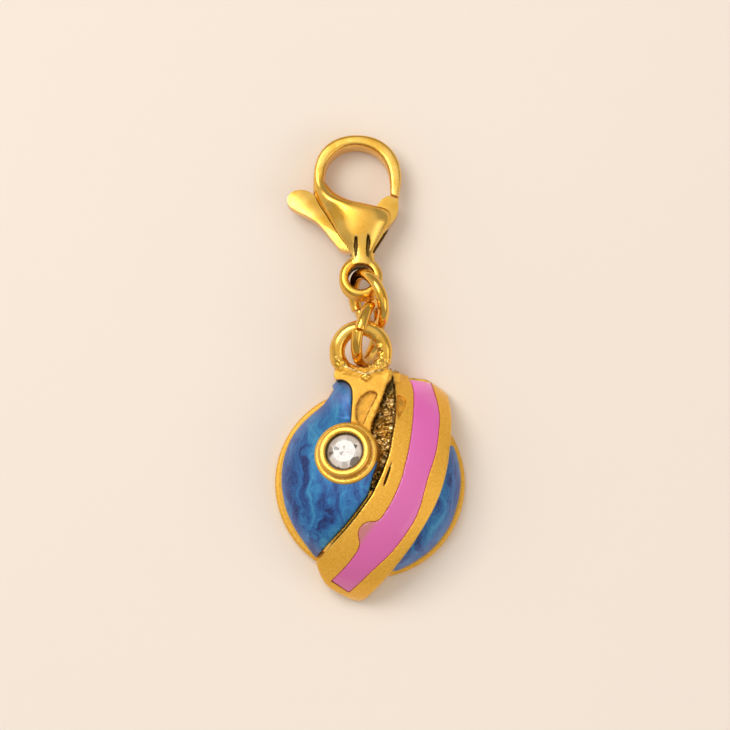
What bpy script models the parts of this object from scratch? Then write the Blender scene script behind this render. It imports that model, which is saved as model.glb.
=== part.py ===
# Clip-on charm in gold-coloured steel: a half-round cast pendant with blue and pink enamel and one
# bezel-set stone, two wire jump rings and a lobster clasp. It lies on its flat back.
# Metres, +Z up. Origin in the middle of the pendant's back, +Y towards the clasp, +Z to the front.
import math
import bmesh
import bpy
from mathutils import Matrix, Vector

MM = 0.001

# Clearances
FIT = 0.10 * MM
LEVER_PLAY = 0.14 * MM
PIN_PLAY = 0.08 * MM

# Pendant
PENDANT_RADIUS = 6.95 * MM
RIM_HEIGHT = 0.85 * MM
RIM_ROUNDING = 0.25 * MM
RIM_WIDTH = 0.20 * MM
DOME_RADIUS = PENDANT_RADIUS - RIM_WIDTH
DOME_HEIGHT = 4.5 * MM
DOME_BASE = 0.8 * MM
ENAMEL_THICKNESS = 0.5 * MM
HUMP_CENTRE = (-0.173 * PENDANT_RADIUS, 0.719 * PENDANT_RADIUS)
HUMP_RADII = (0.374 * PENDANT_RADIUS, 0.489 * PENDANT_RADIUS)
HUMP_HEIGHT = 3.25 * MM
STRAP_HEIGHT = 3.9 * MM
STRAP_SLOPE = 7.0
STRAP_FOOT = 0.5 * MM
POCKET_DEPTH = 0.45 * MM
CREVICE_FLOOR = 2.9 * MM
BELT_REACH = 1.75 * MM
BELT_RADIUS = PENDANT_RADIUS + BELT_REACH
BELT_HEIGHT = 5.75 * MM
CHANNEL_DEPTH = 0.45 * MM
ENAMEL_DROP = 0.04 * MM
NOTCH_DEPTH = 0.45 * MM

# Bezel and stone
BEZEL_CENTRE = (-0.2576 * PENDANT_RADIUS, 0.2835 * PENDANT_RADIUS)
BEZEL_SEAT = 4.93 * MM
BEZEL_TILT = 16.0
BEZEL_HEADING = 132.5
FLANGE_RADIUS = 2.33 * MM
FLANGE_DEPTH = 1.3 * MM
COLLAR_RADIUS = 1.90 * MM
COLLAR_HEIGHT = 0.5 * MM
STONE_RADIUS = 1.33 * MM
STONE_CROWN = 0.36 * MM
STONE_PAVILION = 0.72 * MM

# Bail and jump rings
BAIL_CENTRE = Vector((-0.66 * MM, PENDANT_RADIUS + 2.45 * MM, 3.55 * MM))
BAIL_RADIUS = 1.72 * MM
BAIL_WIRE = 0.57 * MM
BAIL_TILT = 8.0
RING_WIRE = 0.42 * MM
LOWER_RING_RADIUS = 2.174 * MM
LOWER_RING_CENTRE = BAIL_CENTRE + Vector((0.538 * MM, 1.453 * MM, -0.726 * MM))
LOWER_RING_LEAN = 72.6
LOWER_RING_HEADING = -14.1
UPPER_RING_RADIUS = 1.964 * MM
UPPER_RING_CENTRE = LOWER_RING_CENTRE + Vector((0.029 * MM, 2.402 * MM, -0.224 * MM))
UPPER_RING_LEAN = 62.4
UPPER_RING_HEADING = 199.4
RING_GAP = 0.12 * MM
RING_STEP = 0.16 * MM

# Clasp, in its own plane from the middle of its hook ring
CLASP_PLACE = UPPER_RING_CENTRE + Vector((-0.853 * MM, 8.557 * MM, -1.04 * MM))
CLASP_TILT = -8.0
EYE_PLACE = (0.28 * MM, -7.08 * MM)
EYE_RADIUS = 1.6 * MM
EYE_HOLE = 0.93 * MM
EYE_HEIGHT = 1.72 * MM
EYE_ROUNDING = 0.24 * MM
LEVER_THICKNESS = 1.1 * MM
PIVOT_PLACE = (0.70 * MM, -4.66 * MM)
PIN_RADIUS = 0.3 * MM
PIN_LENGTH = 1.5 * MM

# Outlines seen from the front, x and y in hundredths of PENDANT_RADIUS
BELT_LEFT = [
    (22.0, 117.0), (25.0, 106.2), (26.5, 91.4), (27.3, 81.4), (26.5, 62.0), (23.7, 47.1),
    (20.6, 29.1), (16.1, 15.4), (9.5, -1.2), (1.4, -17.0), (-6.3, -27.9), (-15.5, -40.3),
    (-28.5, -55.4), (-44.0, -71.5), (-56.3, -85.5),
]
BELT_FOOT = [
    (-56.3, -85.5), (-50.6, -100.0), (-42.9, -109.8), (-30.9, -116.8), (-19.4, -122.3),
    (-12.2, -123.7), (-4.3, -121.2), (10.4, -107.6),
]
BELT_RIGHT = [
    (10.4, -107.6), (22.6, -94.0), (40.4, -71.7), (51.8, -54.7), (64.7, -32.4), (74.4, -9.5),
    (80.6, 14.7), (83.5, 38.0), (84.7, 51.8), (85.0, 68.3), (83.5, 84.3), (80.6, 97.8),
    (74.8, 105.5),
]
BELT_TOP = [
    (74.8, 105.5), (64.5, 109.4), (39.9, 112.5), (22.0, 117.0),
]
CHANNEL_LEFT = [
    (39.1, 126.6), (40.3, 110.8), (44.0, 101.4), (45.6, 89.8), (45.2, 74.2), (43.6, 54.8),
    (40.3, 32.5), (36.1, 14.5), (31.9, -1.0), (22.4, -22.7), (11.5, -40.3),
]
CHANNEL_STAIN = [
    (11.5, -40.3), (5.8, -43.5), (-1.4, -44.0), (-7.5, -46.6), (-11.5, -51.8), (-12.4, -58.3),
    (-10.9, -66.2), (-12.9, -73.4),
]
CHANNEL_LOW_LEFT = [
    (-12.9, -73.4), (-21.6, -84.9), (-31.2, -95.0), (-40.7, -103.9),
]
CHANNEL_RIGHT = [
    (-22.0, -115.5), (-12.1, -107.2), (1.0, -95.1), (22.6, -74.8), (41.3, -50.2), (51.1, -30.6),
    (59.4, -0.6), (64.9, 16.3), (69.5, 33.1), (71.8, 52.4), (72.7, 66.2), (70.9, 80.6), (67.3, 95.0),
    (64.0, 108.6), (63.3, 126.6),
]
FIELD_LEFT_RIM = [
    (-38.8, 98.6), (-43.5, 90.6), (-50.6, 82.3), (-62.4, 72.2), (-75.1, 59.9), (-84.3, 46.3),
    (-90.6, 30.6), (-93.8, 14.8), (-94.4, 0.1), (-92.7, -15.3), (-88.9, -30.9), (-80.0, -49.8),
    (-67.9, -67.3), (-57.8, -80.9),
]
FIELD_LEFT_LOBE = [
    (-20.3, 61.9), (-21.2, 73.8), (-20.4, 85.9), (-21.0, 96.0), (-25.0, 101.6), (-30.5, 103.9),
    (-35.7, 102.7), (-38.8, 98.6),
]
FIELD_LEFT_MIDDLE = [
    (2.9, 4.3), (7.5, 18.0), (1.4, 31.7), (-14.4, 46.0), (-20.3, 61.9),
]
FIELD_RIGHT_RIM = [
    (29.1, -92.1), (40.3, -86.8), (53.2, -78.7), (63.9, -70.5), (75.4, -57.6), (85.0, -42.4),
    (92.1, -20.7), (95.0, -1.4), (94.4, 13.1), (91.2, 28.1), (87.5, 38.8),
]
STRAP_LEFT = [
    (-20.4, 46.0), (-19.7, 63.9), (-19.1, 73.8), (-18.4, 85.9), (-19.3, 96.7), (-23.9, 103.0),
    (-30.2, 105.6), (-35.1, 105.3), (-37.1, 107.3),
]
STRAP_TOP = [
    (-37.1, 107.3), (-37.7, 111.1), (-35.4, 115.7), (-23.0, 118.3), (-4.3, 118.6), (12.9, 118.0),
    (23.9, 115.1),
]
STRAP_RIGHT = [
    (23.9, 115.1), (22.2, 107.9), (16.3, 96.8), (11.2, 83.0), (6.2, 69.9), (1.2, 57.4), (0.7, 41.7),
]
POCKET = [
    (-11.5, 58.3), (-14.7, 66.2), (-14.1, 78.0), (-9.8, 87.1), (-2.7, 92.4), (3.3, 93.2),
    (7.5, 89.8), (2.3, 78.8), (-2.9, 68.9), (-6.6, 59.0),
]
CREVICE = [
    (23.9, 126.6), (14.4, 96.8), (7.2, 79.1), (0.0, 60.4), (0.7, 30.8), (3.2, 15.8), (0.3, 1.4),
    (1.7, -11.5), (10.1, -8.6), (18.7, 5.8), (25.9, 23.0), (30.9, 46.0), (33.8, 71.9), (33.1, 100.7),
    (30.2, 126.6),
]
NOTCH = [
    (28.2, 90.6), (37.7, 83.7), (31.9, 67.6), (29.1, 60.4),
]
GROOVE = [
    (21.3, 16.5), (23.3, 18.7), (18.7, 2.9), (14.1, -8.9), (13.2, -7.2), (16.7, 4.3),
]
# Hook sections from the free end to the root: outer x, y, inner x, y, half thickness
HOOK_SECTIONS = [
    (3.05, -1.02, 2.43, -0.79, 0.66), (3.17, -0.30, 2.41, -0.32, 0.72),
    (3.25, 0.25, 2.39, 0.12, 0.78), (3.22, 0.99, 2.30, 0.80, 0.85), (3.03, 1.75, 2.08, 1.42, 0.91),
    (2.60, 2.50, 1.72, 1.98, 0.96), (1.90, 3.13, 1.18, 2.44, 1.00), (1.00, 3.52, 0.56, 2.71, 1.03),
    (0.00, 3.64, -0.05, 2.80, 1.05), (-0.92, 3.54, -0.64, 2.73, 1.05),
    (-1.72, 3.25, -1.18, 2.50, 1.05), (-2.38, 2.76, -1.68, 2.12, 1.05),
    (-2.84, 2.12, -2.04, 1.66, 1.05), (-3.09, 1.37, -2.26, 1.12, 1.06),
    (-3.18, 0.66, -2.34, 0.62, 1.08),
]
# Body sections from the root to the neck: the same and the squareness
BODY_SECTIONS = [
    (-3.22, 0.10, -2.36, 0.16, 1.12, 3.20), (-3.22, -0.40, -2.05, -0.18, 1.22, 2.70),
    (-3.14, -0.98, -1.45, -0.76, 1.38, 2.30), (-2.88, -1.60, -0.30, -1.32, 1.52, 2.10),
    (-2.55, -2.20, 1.10, -1.62, 1.62, 2.10), (-2.22, -2.80, 2.36, -2.04, 1.66, 2.10),
    (-1.92, -3.34, 2.64, -2.86, 1.58, 2.10), (-1.60, -3.90, 2.20, -3.72, 1.42, 2.20),
    (-1.22, -4.42, 1.80, -4.42, 1.26, 2.30), (-0.86, -4.86, 1.46, -4.94, 1.12, 2.50),
    (-0.56, -5.28, 1.26, -5.38, 1.04, 2.80), (-0.60, -5.76, 1.32, -5.82, 0.98, 3.00),
    (-0.56, -6.20, 1.24, -6.20, 0.94, 3.00),
]
# Slot for the lever and the lever's own outline, clockwise from the tab
SLOT = [
    (-4.00, -0.55), (-2.75, -0.68), (-2.10, -0.80), (-1.35, -0.60), (-0.90, -0.10), (1.20, -0.50),
    (2.30, -0.86), (3.40, -1.24), (3.30, -3.00), (1.90, -4.50), (1.50, -5.00), (1.05, -5.36),
    (0.50, -5.56),
    (-0.30, -5.62), (-1.20, -5.66), (-2.60, -5.60), (-4.60, -3.60),
]
LEVER = [
    (-4.15, -0.47), (-3.70, -0.53), (-3.22, -0.80), (-2.60, -1.30), (-1.70, -1.98), (-0.90, -2.32),
    (0.10, -2.28), (0.95, -1.98), (1.50, -1.58), (1.84, -1.18), (2.22, -0.95), (2.32, -0.93),
    (2.92, -1.13), (3.02, -1.22), (3.03, -1.80), (2.90, -2.40), (2.50, -2.98), (1.92, -3.62),
    (1.46, -4.18), (1.26, -4.70), (0.98, -5.06), (0.50, -5.18), (-0.20, -5.14), (-0.82, -5.06),
    (-1.22, -4.92), (-1.66, -4.42), (-2.26, -3.64), (-2.86, -2.96), (-3.52, -2.50), (-4.22, -2.16),
    (-4.80, -1.80), (-5.08, -1.40), (-5.04, -0.96), (-4.68, -0.58),
]
# Neck grooves: x, y, length, turn in degrees
NECK_GROOVES = [(-0.07, -4.98, 1.25, -3.0), (0.78, -4.94, 1.40, -3.0)]
HOOK_SQUARENESS = 3.8
GROOVE_WIDTH = 0.22 * MM
GROOVE_FLOOR = 0.92 * MM

for item in list(bpy.data.objects):
    bpy.data.objects.remove(item)
parts = bpy.data.collections.new("bikini_charm")
cutters = bpy.data.collections.new("cutters")
bpy.context.scene.collection.children.link(parts)
bpy.context.scene.collection.children.link(cutters)


def curve_through(points, steps=3):
    # Smooth run through the points, its two ends kept
    last = len(points) - 1
    run = []
    for i in range(last):
        four = points[max(i - 1, 0)], points[i], points[i + 1], points[min(i + 2, last)]
        for k in range(steps):
            t = k / steps
            run.append(tuple(
                0.5 * (2 * b + (c - a) * t + (2 * a - 5 * b + 4 * c - d) * t * t
                       + (3 * b - a - 3 * c + d) * t ** 3)
                for a, b, c, d in zip(*four)))
    run.append(tuple(points[last]))
    return run


def plan(table):
    # Pendant outline in metres
    unit = PENDANT_RADIUS / 100
    return [(x * unit, y * unit) for x, y in curve_through(table)]


def aside(run, gap):
    # The run moved to its left by gap
    last = len(run) - 1
    moved = []
    for i, (x, y) in enumerate(run):
        ax, ay = run[max(i - 1, 0)]
        bx, by = run[min(i + 1, last)]
        long = math.hypot(bx - ax, by - ay)
        moved.append((x - (by - ay) / long * gap, y + (bx - ax) / long * gap))
    return moved


def new_object(name, mesh_source, smooth=False):
    mesh = bpy.data.meshes.new(name)
    bmesh.ops.recalc_face_normals(mesh_source, faces=mesh_source.faces)
    for face in mesh_source.faces:
        face.smooth = smooth
    mesh_source.to_mesh(mesh)
    mesh_source.free()
    thing = bpy.data.objects.new(name, mesh)
    parts.objects.link(thing)
    return thing


def prism(name, outline, low, high):
    # Straight-walled block over an outline, from a filled curve
    curve = bpy.data.curves.new(name, "CURVE")
    curve.dimensions = "2D"
    curve.fill_mode = "BOTH"
    curve.extrude = (high - low) / 2
    spline = curve.splines.new("POLY")
    spline.points.add(len(outline) - 1)
    for point, (x, y) in zip(spline.points, outline):
        point.co = (x, y, 0, 1)
    spline.use_cyclic_u = True
    drawn = bpy.data.objects.new(name + "_curve", curve)
    parts.objects.link(drawn)
    mesh = bpy.data.meshes.new_from_object(drawn.evaluated_get(bpy.context.evaluated_depsgraph_get()))
    bpy.data.objects.remove(drawn)
    block = bmesh.new()
    block.from_mesh(mesh)
    bpy.data.meshes.remove(mesh)
    bmesh.ops.remove_doubles(block, verts=block.verts, dist=1e-7)
    bmesh.ops.translate(block, vec=(0, 0, (high + low) / 2), verts=block.verts)
    return new_object(name, block)


def dome(name, centre, base, radii, height, turns=52, rings=26):
    # Upper half of an ellipsoid standing on a flat floor
    ball = bmesh.new()
    shape = Matrix.Translation((centre[0], centre[1], base)) @ Matrix.Diagonal((*radii, height, 1))
    bmesh.ops.create_uvsphere(ball, u_segments=turns, v_segments=rings, radius=1, matrix=shape)
    cut = bmesh.ops.bisect_plane(
        ball, geom=ball.verts[:] + ball.edges[:] + ball.faces[:], dist=1e-7,
        plane_co=(0, 0, base - 0.02 * MM), plane_no=(0, 0, 1), clear_inner=True)
    edges = [item for item in cut["geom_cut"] if isinstance(item, bmesh.types.BMEdge)]
    bmesh.ops.contextual_create(ball, geom=edges)
    return new_object(name, ball, True)


def cylinder(name, radius, low, high, sides=48):
    rod = bmesh.new()
    bmesh.ops.create_cone(
        rod, cap_ends=True, segments=sides, radius1=radius, radius2=radius, depth=high - low,
        matrix=Matrix.Translation((0, 0, (high + low) / 2)))
    return new_object(name, rod)


def turned(name, profile, steps=48):
    # Profile of radius, height pairs from the axis back to the axis, swept round
    section = bmesh.new()
    points = [section.verts.new((radius, 0, height)) for radius, height in profile]
    for a, b in zip(points, points[1:]):
        section.edges.new((a, b))
    thing = new_object(name, section)
    screw = thing.modifiers.new("turn", "SCREW")
    screw.axis = "Z"
    screw.angle = math.tau
    screw.steps = steps
    screw.render_steps = steps
    screw.use_merge_vertices = True
    screw.merge_threshold = 1e-6
    screw.use_normal_calculate = True
    return thing


def loft(name, sections, smooth=True):
    # Closed skin over rows of points, capped at both ends
    skin = bmesh.new()
    rows = [[skin.verts.new(point) for point in section] for section in sections]
    count = len(rows[0])
    for low, high in zip(rows, rows[1:]):
        for i in range(count):
            skin.faces.new((low[i], low[(i + 1) % count], high[(i + 1) % count], high[i]))
    skin.faces.new(rows[0])
    skin.faces.new(rows[-1])
    return new_object(name, skin, smooth)


def boolean(thing, operation, tool):
    step = thing.modifiers.new(tool.name, "BOOLEAN")
    step.operation = operation
    step.solver = "EXACT"
    step.object = tool
    if tool.name in parts.objects:
        parts.objects.unlink(tool)
        cutters.objects.link(tool)
    tool.hide_render = True
    tool.display_type = "WIRE"


def rounded(thing, width, segments=2, angle=40):
    bevel = thing.modifiers.new("rounding", "BEVEL")
    bevel.width = width
    bevel.segments = segments
    bevel.limit_method = "ANGLE"
    bevel.angle_limit = math.radians(angle)


def place(thing, frame):
    thing.matrix_world = frame


def material(thing, name, colour, roughness, metallic):
    surface = bpy.data.materials.new(name)
    surface.use_nodes = True
    shader = surface.node_tree.nodes["Principled BSDF"]
    shader.inputs["Base Color"].default_value = (*colour, 1)
    shader.inputs["Roughness"].default_value = roughness
    shader.inputs["Metallic"].default_value = metallic
    thing.data.materials.append(surface)


# Blue enamel fields and the metal core under them
def humps(name, inset):
    main = dome(
        name, (0, 0), DOME_BASE, (DOME_RADIUS - inset, DOME_RADIUS - inset), DOME_HEIGHT - inset)
    neck = dome(
        name + "_neck", HUMP_CENTRE, DOME_BASE, (HUMP_RADII[0] - inset, HUMP_RADII[1] - inset),
        HUMP_HEIGHT - inset, 44, 22)
    boolean(main, "UNION", neck)
    return main


bezel_frame = (
    Matrix.Translation((*BEZEL_CENTRE, BEZEL_SEAT))
    @ Matrix.Rotation(math.radians(BEZEL_HEADING), 4, "Z")
    @ Matrix.Rotation(math.radians(BEZEL_TILT), 4, "Y")
    @ Matrix.Rotation(math.radians(-BEZEL_HEADING), 4, "Z"))
belt_left = plan(BELT_LEFT)
belt_right = plan(BELT_RIGHT)

left_outline = (
    aside(belt_left[27:], -FIT)[:-1] + plan(FIELD_LEFT_RIM)[::-1][:-1]
    + plan(FIELD_LEFT_LOBE)[::-1][:-1] + plan(FIELD_LEFT_MIDDLE)[::-1])
enamel_left = prism("enamel_blue_left", left_outline, RIM_HEIGHT + FIT, BELT_HEIGHT)
boolean(enamel_left, "INTERSECT", humps("enamel_top_left", 0))
boolean(enamel_left, "DIFFERENCE", humps("enamel_bed_left", ENAMEL_THICKNESS))
bezel_room = cylinder("bezel_room", FLANGE_RADIUS + FIT, -4 * MM, 4 * MM)
place(bezel_room, bezel_frame)
boolean(enamel_left, "DIFFERENCE", bezel_room)

right_outline = (
    aside([point for point in belt_right if point[1] < 0.385 * PENDANT_RADIUS][3:], -FIT)
    + plan(FIELD_RIGHT_RIM)[::-1])
enamel_right = prism("enamel_blue_right", right_outline, RIM_HEIGHT + FIT, BELT_HEIGHT)
boolean(enamel_right, "INTERSECT", humps("enamel_top_right", 0))
boolean(enamel_right, "DIFFERENCE", humps("enamel_bed_right", ENAMEL_THICKNESS))

# Pendant casting
body = cylinder("pendant_body", PENDANT_RADIUS, 0, RIM_HEIGHT, 80)
rounded(body, RIM_ROUNDING)
core = humps("core", ENAMEL_THICKNESS + FIT)
boolean(core, "DIFFERENCE", prism("crevice", plan(CREVICE), CREVICE_FLOOR, BELT_HEIGHT + MM))
boolean(body, "UNION", core)

strap = prism(
    "strap", plan(STRAP_LEFT)[:-1] + plan(STRAP_TOP)[:-1] + plan(STRAP_RIGHT), STRAP_FOOT,
    BELT_HEIGHT)
slope = Matrix.Translation((0, PENDANT_RADIUS, STRAP_HEIGHT)) @ Matrix.Rotation(
    math.radians(-STRAP_SLOPE), 4, "X")
strap_top = cylinder("strap_top", 2 * PENDANT_RADIUS, 0, BELT_HEIGHT)
place(strap_top, slope)
boolean(strap, "DIFFERENCE", strap_top)
pocket = prism("pocket", plan(POCKET), -POCKET_DEPTH, BELT_HEIGHT)
place(pocket, Matrix.Translation((0, 0, slope.translation.z)) @ Matrix.Translation(
    (0, PENDANT_RADIUS, 0)) @ Matrix.Rotation(math.radians(-STRAP_SLOPE), 4, "X")
    @ Matrix.Translation((0, -PENDANT_RADIUS, 0)))
boolean(strap, "DIFFERENCE", pocket)
boolean(body, "UNION", strap)

seat = STONE_RADIUS + FIT
bezel = turned("bezel", [
    (0, -STONE_PAVILION - FIT), (0.35 * seat, -STONE_PAVILION - FIT),
    (seat, COLLAR_HEIGHT - STONE_CROWN - 0.25 * MM), (seat, COLLAR_HEIGHT - 0.08 * MM),
    (seat + 0.06 * MM, COLLAR_HEIGHT), (COLLAR_RADIUS - 0.2 * MM, COLLAR_HEIGHT),
    (COLLAR_RADIUS - 0.06 * MM, COLLAR_HEIGHT - 0.06 * MM),
    (COLLAR_RADIUS, COLLAR_HEIGHT - 0.2 * MM), (COLLAR_RADIUS, 0),
    (FLANGE_RADIUS - 0.2 * MM, -0.02 * MM), (FLANGE_RADIUS, -0.2 * MM),
    (FLANGE_RADIUS, -FLANGE_DEPTH), (0, -FLANGE_DEPTH)])
place(bezel, bezel_frame)
boolean(body, "UNION", bezel)
bore = turned("bezel_bore", [
    (0, 2 * MM), (seat - 0.01 * MM, 2 * MM), (seat - 0.01 * MM, COLLAR_HEIGHT - STONE_CROWN - 0.25 * MM),
    (0.35 * seat, -STONE_PAVILION - 0.5 * FIT), (0, -STONE_PAVILION - 0.5 * FIT)])
place(bore, bezel_frame)
boolean(body, "DIFFERENCE", bore)

belt = prism(
    "belt", belt_left[:-1] + plan(BELT_FOOT)[:-1] + belt_right[:-1] + plan(BELT_TOP)[:-1], 0,
    BELT_HEIGHT + MM)
boolean(belt, "INTERSECT", dome(
    "belt_top", (0, 0), 0, (BELT_RADIUS, BELT_RADIUS), BELT_HEIGHT, 72, 36))
channel_side = plan(CHANNEL_LEFT)[:-1] + plan(CHANNEL_STAIN)[:-1] + plan(CHANNEL_LOW_LEFT)
channel = prism("channel", channel_side + plan(CHANNEL_RIGHT), 0.2 * MM, BELT_HEIGHT + MM)
boolean(channel, "DIFFERENCE", dome(
    "channel_floor", (0, 0), 0, (BELT_RADIUS - CHANNEL_DEPTH,) * 2, BELT_HEIGHT - CHANNEL_DEPTH, 72,
    36))
boolean(belt, "DIFFERENCE", channel)
for name, table in (("notch", NOTCH), ("groove", GROOVE)):
    cut = prism(name, plan(table), 0.2 * MM, BELT_HEIGHT + MM)
    boolean(cut, "DIFFERENCE", dome(
        name + "_floor", (0, 0), 0, (BELT_RADIUS - NOTCH_DEPTH,) * 2, BELT_HEIGHT - NOTCH_DEPTH))
    boolean(belt, "DIFFERENCE", cut)
boolean(body, "UNION", belt)


def ring(name, radius, wire, frame, turns=40, sides=14):
    hoop = bmesh.new()
    rows = []
    for i in range(turns):
        a = math.tau * i / turns
        rows.append([hoop.verts.new((
            (radius + wire * math.cos(b)) * math.cos(a), (radius + wire * math.cos(b)) * math.sin(a),
            wire * math.sin(b))) for b in [math.tau * k / sides for k in range(sides)]])
    for i in range(turns):
        for k in range(sides):
            here, after = rows[i], rows[(i + 1) % turns]
            hoop.faces.new((here[k], after[k], after[(k + 1) % sides], here[(k + 1) % sides]))
    thing = new_object(name, hoop, True)
    place(thing, frame)
    return thing


bail = ring("bail", BAIL_RADIUS, BAIL_WIRE, Matrix.Translation(BAIL_CENTRE) @ Matrix.Rotation(
    math.radians(BAIL_TILT), 4, "X"))
boolean(body, "UNION", bail)

# Pink enamel in the belt's channel
pink_side = aside(channel_side[4:], FIT)
pink_right = aside(plan(CHANNEL_RIGHT)[:-4], FIT)
pink = prism("enamel_pink", pink_side[:-1] + pink_right[1:], 0.3 * MM, BELT_HEIGHT + MM)
boolean(pink, "INTERSECT", dome(
    "pink_top", (0, 0), 0, (BELT_RADIUS - ENAMEL_DROP,) * 2, BELT_HEIGHT - ENAMEL_DROP, 72, 36))
boolean(pink, "DIFFERENCE", dome(
    "pink_floor", (0, 0), 0, (BELT_RADIUS - CHANNEL_DEPTH + FIT,) * 2,
    BELT_HEIGHT - CHANNEL_DEPTH + FIT, 72, 36))

# Stone: round brilliant from the rings of its facet corners
gem = bmesh.new()
for count, share, height, turn in (
        (8, 0.56, STONE_CROWN, 0.5), (8, 0.80, 0.62 * STONE_CROWN, 0), (16, 1.0, 0.05 * MM, 0.5),
        (16, 1.0, 0, 0.5), (8, 0.52, -0.5 * STONE_PAVILION, 0), (1, 0, -STONE_PAVILION, 0)):
    for i in range(count):
        a = math.tau * (i + turn) / count
        gem.verts.new((STONE_RADIUS * share * math.cos(a), STONE_RADIUS * share * math.sin(a), height))
hull = bmesh.ops.convex_hull(gem, input=gem.verts)
bmesh.ops.dissolve_limit(
    gem, angle_limit=math.radians(1), verts=gem.verts[:], edges=gem.edges[:])
stone = new_object("stone", gem)
place(stone, bezel_frame @ Matrix.Translation((0, 0, COLLAR_HEIGHT - STONE_CROWN - 0.06 * MM)))


# Jump rings: wire bent round, its two ends a little apart and out of line
def jump_ring(name, radius, frame, seam):
    wire = bpy.data.curves.new(name, "CURVE")
    wire.dimensions = "3D"
    wire.bevel_depth = RING_WIRE
    wire.bevel_resolution = 4
    wire.use_fill_caps = True
    count = 37
    spline = wire.splines.new("POLY")
    spline.points.add(count - 1)
    open_angle = (RING_GAP / radius) / 2
    for i, point in enumerate(spline.points):
        t = i / (count - 1)
        a = math.radians(seam) + open_angle + (math.tau - 2 * open_angle) * t
        lift = RING_STEP * (t - 0.5) * abs(2 * t - 1) ** 2
        point.co = (radius * math.cos(a), radius * math.sin(a), lift, 1)
    drawn = bpy.data.objects.new(name + "_curve", wire)
    parts.objects.link(drawn)
    mesh = bpy.data.meshes.new_from_object(drawn.evaluated_get(bpy.context.evaluated_depsgraph_get()))
    bpy.data.objects.remove(drawn)
    hoop = bmesh.new()
    hoop.from_mesh(mesh)
    bpy.data.meshes.remove(mesh)
    bmesh.ops.remove_doubles(hoop, verts=hoop.verts, dist=1e-6)
    thing = new_object(name, hoop, True)
    place(thing, frame)
    return thing


lower_ring = jump_ring(
    "jump_ring_lower", LOWER_RING_RADIUS, Matrix.Translation(LOWER_RING_CENTRE)
    @ Matrix.Rotation(math.radians(LOWER_RING_HEADING), 4, "Z")
    @ Matrix.Rotation(math.radians(LOWER_RING_LEAN), 4, "Y"), 184)
upper_ring = jump_ring(
    "jump_ring_upper", UPPER_RING_RADIUS, Matrix.Translation(UPPER_RING_CENTRE)
    @ Matrix.Rotation(math.radians(UPPER_RING_HEADING), 4, "Z")
    @ Matrix.Rotation(math.radians(UPPER_RING_LEAN), 4, "Y"), 10)

# Clasp
clasp_frame = Matrix.Translation(CLASP_PLACE) @ Matrix.Rotation(math.radians(CLASP_TILT), 4, "X")


def rounded_section(outer, inner, half, power, sides=20):
    # Rounded oblong standing on the line from outer to inner
    middle = (outer + inner) / 2
    along = (outer - inner) / 2
    points = []
    for i in range(sides):
        c, s = math.cos(math.tau * i / sides), math.sin(math.tau * i / sides)
        w = math.copysign(abs(c) ** (2 / power), c)
        h = math.copysign(abs(s) ** (2 / power), s)
        points.append(middle + along * w + Vector((0, 0, half * h)))
    return points


rows = []
hook = [(*section, HOOK_SQUARENESS) for section in HOOK_SECTIONS]
for x0, y0, x1, y1, half, power in hook + curve_through(BODY_SECTIONS, 2):
    rows.append(rounded_section(
        Vector((x0 * MM, y0 * MM, 0)), Vector((x1 * MM, y1 * MM, 0)), half * MM, power))
clasp = loft("clasp_body", rows)
place(clasp, clasp_frame)

eye = cylinder("eye", EYE_RADIUS, -EYE_HEIGHT / 2, EYE_HEIGHT / 2, 40)
eye_hole = cylinder("eye_hole", EYE_HOLE, -EYE_HEIGHT, EYE_HEIGHT, 40)
eye_frame = clasp_frame @ Matrix.Translation((*EYE_PLACE, 0))
rounded(eye, EYE_ROUNDING)
place(eye, eye_frame)
place(eye_hole, eye_frame)
boolean(clasp, "UNION", eye)
boolean(clasp, "DIFFERENCE", eye_hole)

slot_half = LEVER_THICKNESS / 2 + LEVER_PLAY
slot = prism("slot", [(x * MM, y * MM) for x, y in SLOT], -slot_half, slot_half)
place(slot, clasp_frame)
boolean(clasp, "DIFFERENCE", slot)
for x, y, length, turn in NECK_GROOVES:
    for side in (1, -1):
        groove = cylinder("neck_groove", GROOVE_WIDTH / 2, 0, 1.2 * MM, 12)
        stretch = Matrix.Diagonal((1, length * MM / GROOVE_WIDTH, 1, 1))
        groove.data.transform(Matrix.Translation((0, 0, GROOVE_FLOOR)) @ stretch)
        if side < 0:
            groove.data.transform(Matrix.Rotation(math.pi, 4, "Y"))
        place(groove, clasp_frame @ Matrix.Translation((x * MM, y * MM, 0)) @ Matrix.Rotation(
            math.radians(turn), 4, "Z"))
        boolean(clasp, "DIFFERENCE", groove)

pivot_frame = clasp_frame @ Matrix.Translation((*PIVOT_PLACE, 0))
pin_bore = cylinder(
    "pin_bore", PIN_RADIUS + FIT, -PIN_LENGTH / 2 - FIT, PIN_LENGTH / 2 + FIT, 24)
place(pin_bore, pivot_frame)
boolean(clasp, "DIFFERENCE", pin_bore)
pin = cylinder("clasp_pivot_pin", PIN_RADIUS, -PIN_LENGTH / 2, PIN_LENGTH / 2, 24)
place(pin, pivot_frame)

lever_outline = [
    (x * MM - PIVOT_PLACE[0], y * MM - PIVOT_PLACE[1]) for x, y in curve_through(LEVER + LEVER[:1], 2)]
lever = prism("clasp_lever", lever_outline[:-1], -LEVER_THICKNESS / 2, LEVER_THICKNESS / 2)
place(lever, pivot_frame)
lever_bore = cylinder("lever_bore", PIN_RADIUS + PIN_PLAY, -LEVER_THICKNESS, LEVER_THICKNESS, 24)
place(lever_bore, pivot_frame)
boolean(lever, "DIFFERENCE", lever_bore)

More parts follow.
